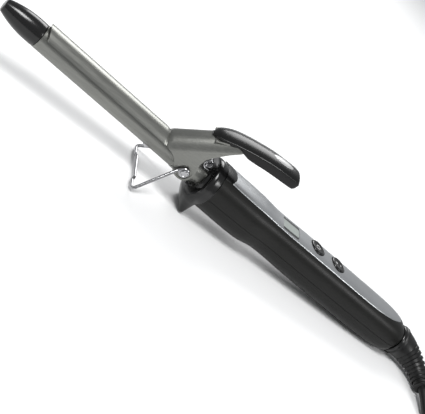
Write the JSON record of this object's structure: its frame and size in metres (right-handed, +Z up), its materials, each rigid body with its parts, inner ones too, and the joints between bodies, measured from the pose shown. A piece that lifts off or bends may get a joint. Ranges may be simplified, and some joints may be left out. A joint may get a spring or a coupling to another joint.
{
  "type": "curling iron",
  "caption": "Curling iron with a sprung clamp, cool tip, flip-out wire stand, guard collar, silver control panel and a swivel mains cord ending in a plug.",
  "frame": {"origin": "centre of the iron's footprint on the surface it rests on, cord left out", "axes": "+X from the cool tip to the handle's end, +Y away from the cord's side, +Z up"},
  "size_m": [0.4907, 0.1196, 0.0682],
  "materials": {
    "titanium_coat": "satin",
    "gloss_black_plastic": "gloss",
    "ceramic": "matte",
    "cast_aluminium": "satin",
    "sensor_glass": "gloss",
    "tinned_metal": "gloss",
    "heat_plastic": "matte",
    "spring_steel": "brushed",
    "satin_black_plastic": "satin",
    "grey_inlay": "satin",
    "polished_steel": "polished",
    "silver_plastic": "satin",
    "display_glass": "gloss",
    "board_green": "satin",
    "component_grey": "matte",
    "red_lead": "satin",
    "brass_contact": "polished",
    "cord_rubber": "satin",
    "nickel_pin": "polished"
  },
  "bodies": {
    "iron": {"barrel_tube": "titanium_coat", "cool_tip": "gloss_black_plastic", "heater_core": "ceramic", "heat_spreader_upper": "cast_aluminium", "heat_spreader_lower": "cast_aluminium", "temperature_sensor": "sensor_glass", "thermal_fuse": "tinned_metal", "barrel_mount": "heat_plastic", "pivot_collar": "spring_steel", "pivot_rivets": "spring_steel", "clamp_spring": "polished_steel", "stand_stud": "polished_steel", "guard": "gloss_black_plastic", "guard_cap": "gloss_black_plastic", "handle_upper_shell": "satin_black_plastic", "handle_lower_shell": "satin_black_plastic", "control_panel": "silver_plastic", "display_window": "display_glass", "display_module": "display_glass", "circuit_board": "board_green", "button_switches": "satin_black_plastic", "board_components": "component_grey", "heater_leads": "red_lead", "shell_screws": "spring_steel", "swivel_bush": "satin_black_plastic"},
    "clamp_lever": {"clamp": "titanium_coat", "thumb_rest": "satin_black_plastic", "thumb_rest_inlay": "grey_inlay"},
    "wire_stand": {"stand": "polished_steel"},
    "power_key": {"power_button": "gloss_black_plastic"},
    "temperature_key": {"temperature_button": "gloss_black_plastic"},
    "cord_end": {"swivel_core": "gloss_black_plastic", "contact_rings": "brass_contact", "strain_relief": "cord_rubber", "mains_cord": "cord_rubber", "cord_coil": "cord_rubber", "cord_tail": "cord_rubber", "cord_tie": "cord_rubber", "plug_body": "cord_rubber", "plug_pins": "nickel_pin"}
  },
  "joints": [
    {"name": "clamp_hinge", "type": "hinge", "parent": "iron", "child": "clamp_lever", "pos_m": [-0.03093, 0, 0.02554], "axis": [0, 1, 0], "range_deg": [0, 18], "stiffness_Nm_per_rad": 0.25, "springref_deg": -34.38, "deforming": ["clamp_spring"]},
    {"name": "stand_hinge", "type": "hinge", "parent": "iron", "child": "wire_stand", "pos_m": [-0.03093, 0, 0.02554], "axis": [0, 1, 0], "range_deg": [-60, 33]},
    {"name": "power_press", "type": "slide", "parent": "iron", "child": "power_key", "axis": [-0.0864, 0, -0.9963], "range_m": [0, 0.0008], "stiffness_N_per_m": 400, "springref_m": -0.0005},
    {"name": "temperature_press", "type": "slide", "parent": "iron", "child": "temperature_key", "axis": [-0.0864, 0, -0.9963], "range_m": [0, 0.0008], "stiffness_N_per_m": 400, "springref_m": -0.0005},
    {"name": "cord_swivel", "type": "hinge", "parent": "iron", "child": "cord_end", "pos_m": [0.16479, 0, 0.01378], "axis": [0.9963, 0, -0.0864], "continuous": true}
  ]
}
